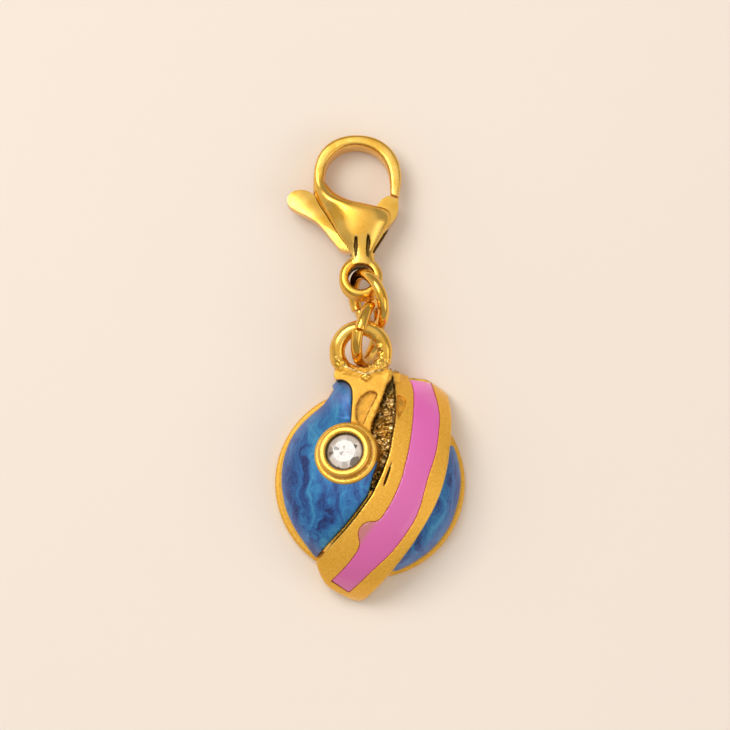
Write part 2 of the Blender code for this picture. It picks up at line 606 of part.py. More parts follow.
GOLD = (0.83, 0.45, 0.05)
BLUE = (0.03, 0.14, 0.38)
material(body, "pendant_gold", GOLD, 0.24, 1.0)
material(enamel_left, "enamel_blue_left", BLUE, 0.16, 0.1)
material(enamel_right, "enamel_blue_right", BLUE, 0.16, 0.1)
material(pink, "enamel_pink", (0.75, 0.14, 0.48), 0.12, 0.0)
material(stone, "stone_clear", (0.88, 0.89, 0.90), 0.02, 0.0)
material(lower_ring, "ring_gold_lower", GOLD, 0.16, 1.0)
material(upper_ring, "ring_gold_upper", GOLD, 0.16, 1.0)
material(clasp, "clasp_gold", GOLD, 0.18, 1.0)
material(lever, "lever_gold", GOLD, 0.20, 1.0)
material(pin, "pin_steel", (0.50, 0.48, 0.45), 0.3, 1.0)
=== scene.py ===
# Looks of the enamelled clip-on charm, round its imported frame. Lengths are in millimetres until
# settle() brings a piece down to metres.
import math
import bpy
import numpy as np
from mathutils import Matrix, Vector


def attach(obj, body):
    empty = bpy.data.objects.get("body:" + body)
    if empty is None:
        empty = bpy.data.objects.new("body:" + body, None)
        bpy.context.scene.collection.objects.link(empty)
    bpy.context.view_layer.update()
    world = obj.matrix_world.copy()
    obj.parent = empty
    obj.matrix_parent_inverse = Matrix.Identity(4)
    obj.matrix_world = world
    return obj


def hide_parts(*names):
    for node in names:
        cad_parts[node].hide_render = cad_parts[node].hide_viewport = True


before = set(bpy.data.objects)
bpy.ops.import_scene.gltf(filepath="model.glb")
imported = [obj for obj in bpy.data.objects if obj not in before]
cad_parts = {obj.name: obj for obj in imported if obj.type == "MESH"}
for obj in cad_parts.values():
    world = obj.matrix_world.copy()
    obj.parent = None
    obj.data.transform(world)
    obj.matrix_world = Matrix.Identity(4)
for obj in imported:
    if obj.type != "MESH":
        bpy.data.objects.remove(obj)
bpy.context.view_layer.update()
mm = 0.001
weld = 1e-4

# Outlines of the pendant seen from the front
outline = {
    "beltLeft": [(1.53, 8.13), (1.74, 7.38), (1.84, 6.35), (1.90, 5.66), (1.84, 4.31), (1.65, 3.27),
        (1.43, 2.02), (1.12, 1.07), (0.66, -0.08), (0.10, -1.18), (-0.44, -1.94), (-1.08, -2.80),
        (-1.98, -3.85), (-3.06, -4.97), (-3.91, -5.94)],
    "beltFoot": [(-3.91, -5.94), (-3.52, -6.95), (-2.98, -7.63), (-2.15, -8.12), (-1.35, -8.50),
        (-0.85, -8.60), (-0.30, -8.42), (0.72, -7.48)],
    "beltRight": [(0.72, -7.48), (1.57, -6.53), (2.81, -4.98), (3.60, -3.80), (4.50, -2.25),
        (5.17, -0.66), (5.60, 1.02), (5.80, 2.64), (5.89, 3.60), (5.91, 4.75), (5.80, 5.86),
        (5.60, 6.80), (5.20, 7.33)],
    "beltTop": [(5.20, 7.33), (4.48, 7.60), (2.77, 7.82), (1.53, 8.13)],
    "channelLeft": [(2.72, 8.80), (2.80, 7.70), (3.06, 7.05), (3.17, 6.24), (3.14, 5.16), (3.03, 3.81),
        (2.80, 2.26), (2.51, 1.01), (2.22, -0.07), (1.56, -1.58), (0.80, -2.80)],
    "channelStain": [(0.80, -2.80), (0.40, -3.02), (-0.10, -3.06), (-0.52, -3.24), (-0.80, -3.60),
        (-0.86, -4.05), (-0.76, -4.60), (-0.90, -5.10)],
    "channelLowLeft": [(-0.90, -5.10), (-1.50, -5.90), (-2.17, -6.60), (-2.83, -7.22)],
    "channelRight": [(-1.53, -8.03), (-0.84, -7.45), (0.07, -6.61), (1.57, -5.20), (2.87, -3.49),
        (3.55, -2.13), (4.13, -0.04), (4.51, 1.13), (4.83, 2.30), (4.99, 3.64), (5.05, 4.60),
        (4.93, 5.60), (4.68, 6.60), (4.45, 7.55), (4.40, 8.80)],
    "leftRim": [(-2.70, 6.85), (-3.02, 6.30), (-3.52, 5.72), (-4.34, 5.02), (-5.22, 4.16),
        (-5.86, 3.22), (-6.30, 2.13), (-6.52, 1.03), (-6.56, 0.01), (-6.44, -1.06), (-6.18, -2.15),
        (-5.56, -3.46), (-4.72, -4.68), (-4.02, -5.62)],
    "leftLobe": [(-1.41, 4.30), (-1.47, 5.13), (-1.42, 5.97), (-1.46, 6.67), (-1.74, 7.06),
        (-2.12, 7.22), (-2.48, 7.14), (-2.70, 6.85)],
    "leftMiddle": [(0.20, 0.30), (0.52, 1.25), (0.10, 2.20), (-1.00, 3.20), (-1.41, 4.30)],
    "rightRim": [(2.02, -6.40), (2.80, -6.03), (3.70, -5.47), (4.44, -4.90), (5.24, -4.00),
        (5.91, -2.95), (6.40, -1.44), (6.60, -0.10), (6.56, 0.91), (6.34, 1.95), (6.08, 2.70)],
    "strapLeft": [(-1.42, 3.20), (-1.37, 4.44), (-1.33, 5.13), (-1.28, 5.97), (-1.34, 6.72),
        (-1.66, 7.16), (-2.10, 7.34), (-2.44, 7.32), (-2.58, 7.46)],
    "strapTop": [(-2.58, 7.46), (-2.62, 7.72), (-2.46, 8.04), (-1.60, 8.22), (-0.30, 8.24),
        (0.90, 8.20), (1.66, 8.00)],
    "strapRight": [(1.66, 8.00), (1.54, 7.50), (1.13, 6.73), (0.78, 5.77), (0.43, 4.86), (0.08, 3.99),
        (0.05, 2.90)],
    "pocket": [(-0.80, 4.05), (-1.02, 4.60), (-0.98, 5.42), (-0.68, 6.05), (-0.19, 6.42), (0.23, 6.48),
        (0.52, 6.24), (0.16, 5.48), (-0.20, 4.79), (-0.46, 4.10)],
    "crevice": [(1.66, 8.80), (1.00, 6.73), (0.50, 5.50), (0.00, 4.20), (0.05, 2.14), (0.22, 1.10),
        (0.02, 0.10), (0.12, -0.80), (0.70, -0.60), (1.30, 0.40), (1.80, 1.60), (2.15, 3.20),
        (2.35, 5.00), (2.30, 7.00), (2.10, 8.80)],
    "notch": [(1.96, 6.30), (2.62, 5.82), (2.22, 4.70), (2.02, 4.20)],
    "groove": [(1.48, 1.15), (1.62, 1.30), (1.30, 0.20), (0.98, -0.62), (0.92, -0.50), (1.16, 0.30)],
}


def clearSelection():
    if bpy.context.object and bpy.context.object.mode != "OBJECT":
        bpy.ops.object.mode_set(mode="OBJECT")
    bpy.ops.object.select_all(action="DESELECT")


def takeUp(piece):
    clearSelection()
    piece.select_set(True)
    bpy.context.view_layer.objects.active = piece


def nameLast(name):
    piece = bpy.context.object
    piece.name = name
    piece.data.name = name
    return piece


def baked(name):
    # The primitive just added, its place, turn and size now in its mesh
    bpy.ops.object.transform_apply(location=True, rotation=True, scale=True)
    return nameLast(name)


def faceOut(piece):
    # Normals outward all round
    takeUp(piece)
    bpy.ops.object.mode_set(mode="EDIT")
    bpy.ops.mesh.select_all(action="SELECT")
    bpy.ops.mesh.normals_make_consistent(inside=False)
    bpy.ops.object.mode_set(mode="OBJECT")
    return piece


def newMesh(name, points, edges=(), faces=()):
    mesh = bpy.data.meshes.new(name)
    mesh.from_pydata(points, edges, faces)
    piece = bpy.data.objects.new(name, mesh)
    bpy.context.scene.collection.objects.link(piece)
    takeUp(piece)
    return piece


def smoothRun(points, steps=6):
    # A soft curve through the points
    last = len(points) - 1
    run = []
    for i in range(last):
        four = points[max(i - 1, 0)], points[i], points[i + 1], points[min(i + 2, last)]
        for k in range(steps):
            t = k / steps
            run.append(tuple(
                0.5 * (2 * b + (c - a) * t + (2 * a - 5 * b + 4 * c - d) * t * t
                       + (3 * b - a - 3 * c + d) * t ** 3)
                for a, b, c, d in zip(*four)))
    run.append(tuple(points[last]))
    return run


def closedRun(points, steps=6):
    return smoothRun(points + points[:1], steps)[:-1]


def along(*names):
    # Runs joined into one closed outline
    joined = []
    for name in names:
        run = smoothRun(outline[name.strip("-")])
        joined += (run[::-1] if name.startswith("-") else run)[:-1]
    return joined


def aside(run, gap):
    # A run moved sideways, to its left where the gap is above 0
    last = len(run) - 1
    moved = []
    for i, (x, y) in enumerate(run):
        ax, ay = run[max(i - 1, 0)]
        bx, by = run[min(i + 1, last)]
        far = math.hypot(bx - ax, by - ay)
        moved.append((x - (by - ay) / far * gap, y + (bx - ax) / far * gap))
    return moved


def slab(name, points, low, high):
    # A filled ring of corners, drawn up into a block
    clearSelection()
    bpy.ops.mesh.primitive_circle_add(vertices=len(points), radius=1, fill_type="NGON")
    piece = nameLast(name)
    for corner, (x, y) in zip(piece.data.vertices, points):
        corner.co = (x, y, low)
    bpy.ops.object.mode_set(mode="EDIT")
    bpy.ops.mesh.select_all(action="SELECT")
    bpy.ops.mesh.extrude_region_move(TRANSFORM_OT_translate={"value": (0, 0, high - low)})
    bpy.ops.object.mode_set(mode="OBJECT")
    return faceOut(piece)


def dome(name, centre, radii, turns=160, rings=80):
    # Upper half of a ball pulled to three radii, on a flat floor
    clearSelection()
    bpy.ops.mesh.primitive_uv_sphere_add(
        segments=turns, ring_count=rings, radius=1, location=centre, scale=radii)
    piece = baked(name)
    bpy.ops.object.mode_set(mode="EDIT")
    bpy.ops.mesh.select_all(action="SELECT")
    bpy.ops.mesh.bisect(
        plane_co=(0, 0, centre[2] - 0.013), plane_no=(0, 0, 1), use_fill=True, clear_inner=True)
    bpy.ops.object.mode_set(mode="OBJECT")
    return piece


def cylinder(name, radius, low, high, sides=96):
    clearSelection()
    bpy.ops.mesh.primitive_cylinder_add(
        vertices=sides, radius=radius, depth=high - low, location=(0, 0, (high + low) / 2))
    return baked(name)


def turned(name, profile, steps=96):
    # A chain of radius, height pairs spun round the upright axis
    piece = newMesh(
        name, [(r, 0, z) for r, z in profile], [(i, i + 1) for i in range(len(profile) - 1)])
    bpy.ops.object.mode_set(mode="EDIT")
    bpy.ops.mesh.select_all(action="SELECT")
    bpy.ops.mesh.spin(steps=steps, angle=math.tau, center=(0, 0, 0), axis=(0, 0, 1))
    bpy.ops.mesh.select_all(action="SELECT")
    bpy.ops.mesh.remove_doubles(threshold=weld)
    bpy.ops.object.mode_set(mode="OBJECT")
    return faceOut(piece)


def moved(piece, placing):
    piece.data.transform(placing)
    piece.data.update()
    return piece


def useModifier(piece, kind, **settings):
    takeUp(piece)
    modifier = piece.modifiers.new(kind.lower(), kind)
    for key, value in settings.items():
        setattr(modifier, key, value)
    bpy.ops.object.modifier_apply(modifier=modifier.name)
    return piece


def combine(piece, operation, tool):
    useModifier(piece, "BOOLEAN", operation=operation, solver="EXACT", object=tool)
    bpy.data.objects.remove(tool)
    return piece


def heap(name, *pieces):
    # Overlapping closed shells joined into one object, ready to be recast
    clearSelection()
    for piece in pieces:
        piece.select_set(True)
    bpy.context.view_layer.objects.active = pieces[0]
    bpy.ops.object.join()
    return nameLast(name)


def recast(piece, grain, passes, keep=1.0):
    # One skin over the shells, its edges softened as in a casting
    useModifier(piece, "REMESH", mode="VOXEL", voxel_size=grain, adaptivity=0)
    if passes:
        useModifier(piece, "SMOOTH", factor=0.5, iterations=passes)
    if keep < 1:
        useModifier(piece, "DECIMATE", ratio=keep)
    takeUp(piece)
    bpy.ops.object.shade_smooth()
    return piece


def settle(piece, body, slot, *nodes):
    # Down to metres, in place, riding on its body
    piece.data.transform(Matrix.Scale(mm, 4))
    piece.data.update()
    takeUp(piece)
    bpy.ops.object.transform_apply(location=True, rotation=True, scale=True)
    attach(piece, body)
    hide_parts(*nodes)
    triangles = sum(len(face.vertices) - 2 for face in piece.data.polygons)
    print(piece.name, triangles, "triangles")


def corners(piece):
    # Places and normals of the points, as two times three rows
    rows = np.empty((2, len(piece.data.vertices) * 3))
    piece.data.vertices.foreach_get("co", rows[0])
    piece.data.vertex_normals.foreach_get("vector", rows[1])
    return rows[0].reshape(-1, 3).T, rows[1].reshape(-1, 3).T


def inside(points, x, y):
    hit = np.zeros(x.shape, bool)
    for (ax, ay), (bx, by) in zip(points, points[1:] + points[:1]):
        if ay != by:
            hit ^= ((ay > y) != (by > y)) & (x < (bx - ax) * (y - ay) / (by - ay) + ax)
    return hit


def nearness(points, x, y, reach):
    # 1 on a run of points, 0 at reach and beyond
    apart = np.full(x.shape, np.inf)
    for (ax, ay), (bx, by) in zip(points, points[1:]):
        t = ((x - ax) * (bx - ax) + (y - ay) * (by - ay)) / ((bx - ax) ** 2 + (by - ay) ** 2)
        t = np.clip(t, 0, 1)
        apart = np.minimum(apart, np.hypot(x - ax - t * (bx - ax), y - ay - t * (by - ay)))
    return np.clip(1 - apart / reach, 0, 1)


def paint(piece, name, values):
    # One number for each point, for a material to read
    layer = piece.data.attributes.new(name, "FLOAT", "POINT")
    layer.data.foreach_set("value", np.clip(values, 0, 1).astype(np.float32))


# Shader maths
class Wire:
    # A socket that adds its Math nodes when it stands in a sum
    def __init__(self, finish, socket):
        self.finish = finish
        self.socket = socket

    def __add__(self, other):
        return self.finish.maths("ADD", self, other)

    def __radd__(self, other):
        return self.finish.maths("ADD", other, self)

    def __sub__(self, other):
        return self.finish.maths("SUBTRACT", self, other)

    def __rsub__(self, other):
        return self.finish.maths("SUBTRACT", other, self)

    def __mul__(self, other):
        return self.finish.maths("MULTIPLY", self, other)

    def __rmul__(self, other):
        return self.finish.maths("MULTIPLY", other, self)

    def __pow__(self, other):
        return self.finish.maths("POWER", self, other)


class Board:
    # A node tree that hands out wires
    def __init__(self, tree):
        self.tree = tree

    def add(self, kind, settings, sockets, output=0):
        node = self.tree.nodes.new(kind)
        for key, value in settings.items():
            if key == "stops":
                while len(node.color_ramp.elements) < len(value):
                    node.color_ramp.elements.new(0.5)
                for stop, (position, colour) in zip(node.color_ramp.elements, value):
                    stop.position = position
                    stop.color = (*colour, 1)
            else:
                setattr(node, key, value)
        for key, value in sockets.items():
            if isinstance(value, Wire):
                self.tree.links.new(value.socket, node.inputs[key])
            else:
                node.inputs[key].default_value = value
        return Wire(self, node.outputs[output])

    def maths(self, operation, a, b):
        return self.add("ShaderNodeMath", {"operation": operation}, {0: a, 1: b})

    def within(self, value, low, high, lowest=0.0, highest=1.0):
        return self.add("ShaderNodeMapRange", {"clamp": True}, {
            "Value": value, "From Min": low, "From Max": high, "To Min": lowest, "To Max": highest})

    def noise(self, scale, detail=3.0, rough=0.5, place=None, distortion=0.0):
        return self.add("ShaderNodeTexNoise", {}, {
            "Vector": place or self.place, "Scale": scale, "Detail": detail, "Roughness": rough,
            "Distortion": distortion})

    def blend(self, factor, a, b):
        def full(colour):
            return colour if isinstance(colour, Wire) else (*colour, 1)
        return self.add("ShaderNodeMix", {"data_type": "RGBA"}, {
            0: factor, 6: full(a), 7: full(b)}, 2)

    def facing(self, direction, near, far):
        # 1 round a direction of the sky, 0 outside
        sky = self.add("ShaderNodeTexCoord", {}, {}, "Generated")
        likeness = self.add("ShaderNodeVectorMath", {"operation": "DOT_PRODUCT"}, {
            0: sky, 1: Vector(direction).normalized()}, "Value")
        return self.add("ShaderNodeMapRange", {"interpolation_type": "SMOOTHSTEP"}, {
            "Value": likeness, "From Min": math.cos(math.radians(far)),
            "From Max": math.cos(math.radians(near))})


class Finish(Board):
    # A material in the making: its shader takes constants at once and wires through feed
    def __init__(self, name, **constants):
        self.material = bpy.data.materials.new(name)
        self.material.use_nodes = True
        super().__init__(self.material.node_tree)
        self.shader = self.tree.nodes["Principled BSDF"]
        for key, value in constants.items():
            self.shader.inputs[key.replace("_", " ")].default_value = value
        spot = self.add("ShaderNodeTexCoord", {}, {}, "Object")
        self.place = self.add("ShaderNodeMapping", {}, {"Vector": spot, "Scale": (1 / mm,) * 3})

    def painted(self, name):
        return self.add("ShaderNodeAttribute", {"attribute_name": name}, {}, "Fac")

    def bump(self, height, strength, distance):
        return self.add("ShaderNodeBump", {}, {
            "Height": height, "Strength": strength, "Distance": distance})

    def feed(self, **sockets):
        for key, value in sockets.items():
            self.tree.links.new(value.socket, self.shader.inputs[key.replace("_", " ")])
        return self.material


# The near-black brown stands in for shade; the pale glint colour is a painted highlight
goldLook = {
    "light": (0.93, 0.58, 0.13), "deep": (0.86, 0.46, 0.06), "tarnish": (0.03, 0.018, 0.008),
    "satinLight": (1.0, 0.55, 0.07), "satinDeep": (0.78, 0.36, 0.018), "paintedGlint": (1.0, 0.80, 0.42),
}


def goldFinish(name, polish, grainDepth, patches=()):
    # Gold plate: polish is its roughness, patches the painted masks that it reads
    look = Finish(name, Metallic=1.0, Roughness=polish)
    cloud = look.within(look.noise(0.7, 2.0), 0.35, 0.65)
    grain = look.noise(9.0, 4.0, 0.6)
    colour = look.blend(cloud, goldLook["deep"], goldLook["light"])
    rough = polish + 0.10 * grain * cloud
    height = grain
    if "satin" in patches:
        satin = look.painted("satin")
        speck = look.within(look.noise(6.5, 5.0, 0.7), 0.3, 0.7)
        colour = look.blend(satin, colour, look.blend(speck, goldLook["satinDeep"],
                                                      goldLook["satinLight"]))
        rough = rough + satin * (0.20 + 0.10 * speck)
        height = grain + satin * speck
        look.feed(Metallic=1.0 - 0.6 * satin)
    if "tarnish" in patches:
        # Painted shade: the painted value darkens the gold towards the near-black brown, and roughens
        # it
        tarnish = look.painted("tarnish")
        crumbs = look.within(look.noise(3.0, 4.0, 0.75), 0.44, 0.54)
        blotch = look.within(look.noise(1.3, 2.0), 0.40, 0.50, 0.15)
        # Painted glints: specks of pale gold where the painted shade is not at its darkest, with less
        # shade there
        glintSpots = crumbs * look.within(tarnish, 0.78, 0.82, 1.0, 0.0) * blotch
        shadeDepth = tarnish * (1.0 - glintSpots)
        colour = look.blend(glintSpots * look.within(tarnish, 0.45, 0.6), colour, goldLook["paintedGlint"])
        colour = look.blend(shadeDepth, colour, goldLook["tarnish"])
        rough = rough + tarnish * 0.4
    normal = look.bump(height, 0.25, grainDepth * mm)
    return look.feed(Base_Color=colour, Roughness=rough, Normal=normal)


def blueFinish(name):
    # Pearl enamel: streaks stirred along the field under a clear gloss, with a painted lilac sheen
    # near the rim
    look = Finish(name, Coat_Roughness=0.3, Coat_IOR=1.4, Coat_Weight=0.12, Metallic=0.3)
    stir = look.add("ShaderNodeTexNoise", {}, {
        "Vector": look.place, "Scale": 0.42, "Detail": 2.0}, 1)
    drift = look.add("ShaderNodeVectorMath", {"operation": "MULTIPLY_ADD"}, {
        0: stir, 1: (2.6, 2.6, 2.6), 2: look.place})
    turn = look.add("ShaderNodeMapping", {}, {
        "Vector": drift, "Rotation": (0, 0, math.radians(-24)), "Scale": (1.5, 0.24, 1.5)})
    streak = look.noise(0.62, 6.0, 0.66, turn, 0.5)
    fine = look.noise(13.0, 2.0, 0.7)
    tone = look.within(streak + 0.22 * (fine - 0.5), 0.33, 0.66)
    colour = look.add("ShaderNodeValToRGB", {"stops": [
        (0.0, (0.008, 0.020, 0.12)), (0.25, (0.014, 0.060, 0.25)), (0.50, (0.022, 0.14, 0.40)),
        (0.75, (0.026, 0.21, 0.48)), (1.0, (0.065, 0.31, 0.56))]}, {"Fac": tone})
    glitter = look.within(fine, 0.56, 0.80)
    colour = look.blend(glitter * 0.45, colour, (0.10, 0.36, 0.62))
    # Painted sheen: a lilac tint towards the rim, broken up by noise
    rim = look.painted("rim") * look.within(look.noise(1.2, 2.0), 0.25, 0.6, 0.15, 0.6)
    colour = look.blend(rim, colour, (0.17, 0.21, 0.47))
    rough = 0.50 - 0.14 * tone
    normal = look.bump(fine + 2.0 * streak, 0.12, 0.03 * mm)
    return look.feed(Base_Color=colour, Roughness=rough, Normal=normal)


def pinkFinish(name):
    # Plain glossy enamel, with painted light that darkens it towards the bottom and pales it at the
    # top, and thin where it ran over the strip
    look = Finish(name, Coat_Roughness=0.05, Coat_Weight=0.6)
    cloud = look.within(look.noise(0.35, 2.0), 0.3, 0.7)
    speck = look.noise(14.0, 3.0)
    colour = look.blend(cloud, (0.80, 0.14, 0.50), (0.85, 0.165, 0.56))
    # Painted light: darker towards the bottom, a painted highlight near the top end
    colour = look.blend(look.painted("height"), (0.70, 0.13, 0.38), colour)
    colour = look.blend(look.within(look.painted("height"), 0.92, 1.0), colour, (1.0, 0.22, 0.70))
    colour = look.blend(look.painted("stain"), colour, (0.58, 0.19, 0.20))
    rough = 0.24 + 0.10 * speck
    normal = look.bump(look.noise(1.1, 2.0) + 0.1 * speck, 0.12, 0.05 * mm)
    return look.feed(Base_Color=colour, Roughness=rough, Normal=normal)


# Pendant casting
pendant = {
    "rimRadius": 6.95, "rimHeight": 0.85, "rimRounding": 0.22,
    "beltRadius": 8.7, "beltHeight": 5.75, "channelDepth": 0.45,
    "domeRadius": 6.75, "domeHeight": 4.5, "domeBase": 0.8,
    "humpCentre": (-1.2, 5.0), "humpRadii": (2.6, 3.4), "humpHeight": 3.25,
    "strapHeight": 3.9, "strapSlope": 7.0, "strapFoot": 0.5, "pocketDepth": 0.45,
    "creviceFloor": 2.9, "markDepths": {"notch": 0.28, "groove": 0.35}, "bedEnd": 7.9,
    "coreInset": 0.55, "grain": 0.065, "passes": 3, "keep": 0.42,
    "crumbSize": 0.34, "crumbHeight": 0.7,
    # Four beads of metal under the bail: place and radius
    "beads": [(-0.29, 7.38, 3.90, 0.17), (-0.52, 7.52, 3.92, 0.15), (-0.06, 7.52, 3.90, 0.15),
        (-0.30, 7.64, 3.92, 0.18)],
    # Painted shade along the seam between the bail's foot and the top plate
    "seam": [(-1.9, 8.35), (-0.95, 7.95), (-0.35, 7.72), (0.3, 7.95), (0.9, 8.05)],
}
# Slabs and cutters reach past the casting: how far out, and how high
beyond = 9
above = 8
bezel = {
    "centre": (-1.79, 1.97, 4.93), "tilt": 16.0, "heading": 132.5, "flange": 2.33, "collar": 1.93,
    "collarHeight": 0.5, "seat": 1.42, "depth": 1.3, "stepReach": 2.0, "shadowReach": 2.36,
}
bail = {"centre": (-0.66, 9.4, 3.55), "radius": 1.72, "wire": 0.57, "tilt": 8.0}

bezelPlace = (
    Matrix.Translation(bezel["centre"]) @ Matrix.Rotation(math.radians(bezel["heading"]), 4, "Z")
    @ Matrix.Rotation(math.radians(bezel["tilt"]), 4, "Y")
    @ Matrix.Rotation(math.radians(-bezel["heading"]), 4, "Z"))

bezelTurn = bezelPlace.to_3x3()
bezelOffset = np.array(bezelTurn.inverted() @ Vector(bezel["centre"]))


def beltDome(name, drop):
    # The ball that the belt's outer face lies on, sunk by a drop
    radius = pendant["beltRadius"] - drop
    return dome(name, (0, 0, 0), (radius, radius, pendant["beltHeight"] - drop), 200, 100)


def bellow(name, inset=0):
    # The enamelled ball with its neck
    r = pendant["domeRadius"] - inset
    base = pendant["domeBase"]
    main = dome(name, (0, 0, base), (r, r, pendant["domeHeight"] - inset))
    neck = dome(name + "Neck", (*pendant["humpCentre"], base), (
        pendant["humpRadii"][0] - inset, pendant["humpRadii"][1] - inset,
        pendant["humpHeight"] - inset), 120, 60)
    return combine(main, "UNION", neck)


channelSide = along("channelLeft", "channelStain", "channelLowLeft") + [(-2.83, -7.22)]
beltOutline = along("beltLeft", "beltFoot", "beltRight", "beltTop")
strapOutline = along("strapLeft", "strapTop", "strapRight")


def makeCasting():
    rim = cylinder("rim", pendant["rimRadius"], 0, pendant["rimHeight"], 160)
    useModifier(rim, "BEVEL", width=pendant["rimRounding"], segments=4, limit_method="ANGLE")

    belt = combine(slab("belt", beltOutline, 0, above), "INTERSECT", beltDome("beltTop", 0))
    channel = slab("channel", channelSide + smoothRun(outline["channelRight"]), 0.2, above)
    combine(channel, "DIFFERENCE", beltDome("channelFloor", pendant["channelDepth"]))
    combine(belt, "DIFFERENCE", channel)
    for name, depth in pendant["markDepths"].items():
        mark = slab(name + "Cut", smoothRun(outline[name])[:-1], 0.2, above)
        combine(mark, "DIFFERENCE", beltDome(name + "Floor", depth))
        combine(belt, "DIFFERENCE", mark)

    slope = Matrix.Translation((0, pendant["rimRadius"], pendant["strapHeight"])) @ Matrix.Rotation(
        math.radians(-pendant["strapSlope"]), 4, "X")
    strap = slab("strap", strapOutline, pendant["strapFoot"], 6)
    combine(strap, "DIFFERENCE", moved(cylinder("strapTopCut", 14, 0, 6), slope))
    pocket = slab("pocketCut", closedRun(outline["pocket"]), -pendant["pocketDepth"], 6)
    moved(pocket, slope @ Matrix.Translation((0, -pendant["rimRadius"], 0)))
    combine(strap, "DIFFERENCE", pocket)

    # Bezel in section, from the seat's middle up over the collar and down the flange
    height, seat, collar, flange, depth = (
        bezel[key] for key in ("collarHeight", "seat", "collar", "flange", "depth"))
    setting = turned("setting", [
        (0, -1.22), (0.3, -1.22), (seat, -0.05), (seat, height - 0.06), (seat + 0.05, height),
        (collar - 0.20, height + 0.02), (collar - 0.05, height - 0.06), (collar, height - 0.22),
        (collar - 0.03, 0.02), (collar + 0.04, -0.06), (flange - 0.12, -0.09),
        (flange - 0.02, -0.17), (flange, -0.30), (flange, -depth), (0, -depth)])
    moved(setting, bezelPlace)
    bed = slab("creviceBed", closedRun(outline["crevice"]), 0.3, pendant["creviceFloor"])
    combine(bed, "DIFFERENCE", moved(
        slab("bedEnd", [(-beyond, 0), (beyond, 0), (beyond, 2), (-beyond, 2)], 0, above),
        Matrix.Translation((0, pendant["bedEnd"], 0))))
    core = combine(bellow("core", pendant["coreInset"]), "INTERSECT", slab("coreLow", [
        (-beyond, -beyond), (beyond, -beyond), (beyond, beyond), (-beyond, beyond)],
        0.3, pendant["creviceFloor"]))

    clearSelection()
    bpy.ops.mesh.primitive_torus_add(
        major_radius=bail["radius"], minor_radius=bail["wire"], major_segments=120,
        minor_segments=36, location=bail["centre"], rotation=(math.radians(bail["tilt"]), 0, 0))
    loop = baked("bailLoop")
    beads = []
    for *spot, size in pendant["beads"]:
        clearSelection()
        bpy.ops.mesh.primitive_ico_sphere_add(subdivisions=3, radius=size, location=spot)
        beads.append(baked("bead"))

    casting = heap("pendantCasting", rim, belt, strap, setting, bed, core, loop, *beads)
    recast(casting, pendant["grain"], pendant["passes"])

    def creviceMask(x, y, z):
        # The crevice's floor and walls, strongest low down
        deep = inside(outline["crevice"], x, y) & ~inside(beltOutline, x, y) & (z > 1) & (y < 8.1)
        return deep * np.clip((4.1 - z) * 1.4, 0.25, 1) * (z < 4.9)

    def bailMask(x, y, z):
        # Rough lower right of the bail's inner wall
        dx, dy = x - bail["centre"][0], y - bail["centre"][1]
        near = np.hypot(dx, dy)
        return (y > 7.9) * (z > 1.5) * np.clip(0.5 + 0.5 * (dx - dy) / near, 0, 1) * np.clip(
            (1.75 - near) * 3, 0, 1)

    # Crumbs pushed out of the crevice, the bail's inner wall and its foot
    x, y, z = corners(casting)[0]
    foot = (y > 7.75) * (z > 2.2) * np.clip((9.3 - y) * 1.2, 0, 1) * (
        np.hypot(x - bail["centre"][0], y - bail["centre"][1]) < 2.35)
    weight = np.maximum.reduce([creviceMask(x, y, z), 0.6 * bailMask(x, y, z), 0.36 * foot])
    rough = casting.vertex_groups.new(name="rough")
    levels = 10
    for level in range(1, levels + 1):
        chosen = np.flatnonzero(np.round(weight * levels) == level)
        rough.add(chosen.tolist(), level / levels, "REPLACE")
    crumb = bpy.data.textures.new("crumb", "CLOUDS")
    crumb.noise_scale = pendant["crumbSize"]
    crumb.noise_depth = 3
    useModifier(casting, "DISPLACE", texture=crumb, strength=pendant["crumbHeight"],
                mid_level=0.45, vertex_group="rough", texture_coords="LOCAL")
    useModifier(casting, "DECIMATE", ratio=pendant["keep"])

    # Painted shade: the crevice, darkest low down and at its walls, the sunk marks, the pocket, the
    # seam, the bail's rough lower right, and a painted shadow on the lower right of the bezel's step
    (x, y, z), normal = corners(casting)
    marks = inside(outline["groove"], x, y) * 0.9 + inside(outline["notch"], x, y) * 0.35
    sunk = inside(outline["pocket"], x, y) * 0.22 + 0.5 * nearness(outline["pocket"], x, y, 0.10)
    seam = nearness(pendant["seam"], x, y, 0.16)
    offX, offY, offZ = (np.stack([x, y, z], 1) @ np.array(bezelTurn) - bezelOffset).T
    away = np.hypot(offX, offY)
    bezelled = (away < bezel["shadowReach"]) & (z > 3.6)
    # A ring along the bezel's step, for the painted shadow on its lower right
    step = np.clip(1 - np.abs(away - bezel["stepReach"]) / 0.09, 0, 1) * bezelled
    border = np.maximum(
        nearness(smoothRun(outline["strapRight"]), x, y, 0.45),
        nearness(smoothRun(outline["beltLeft"]), x, y, 0.30))
    pit = np.minimum(creviceMask(x, y, z) * (0.56 + 0.44 * border), 0.9)
    paint(casting, "tarnish", np.maximum.reduce([
        pit, 0.35 * bailMask(x, y, z), marks * (z > 3), sunk * (z > 3),
        0.8 * seam * (z > 2.5), 0.7 * step * (offX - offY > 0.4)]))

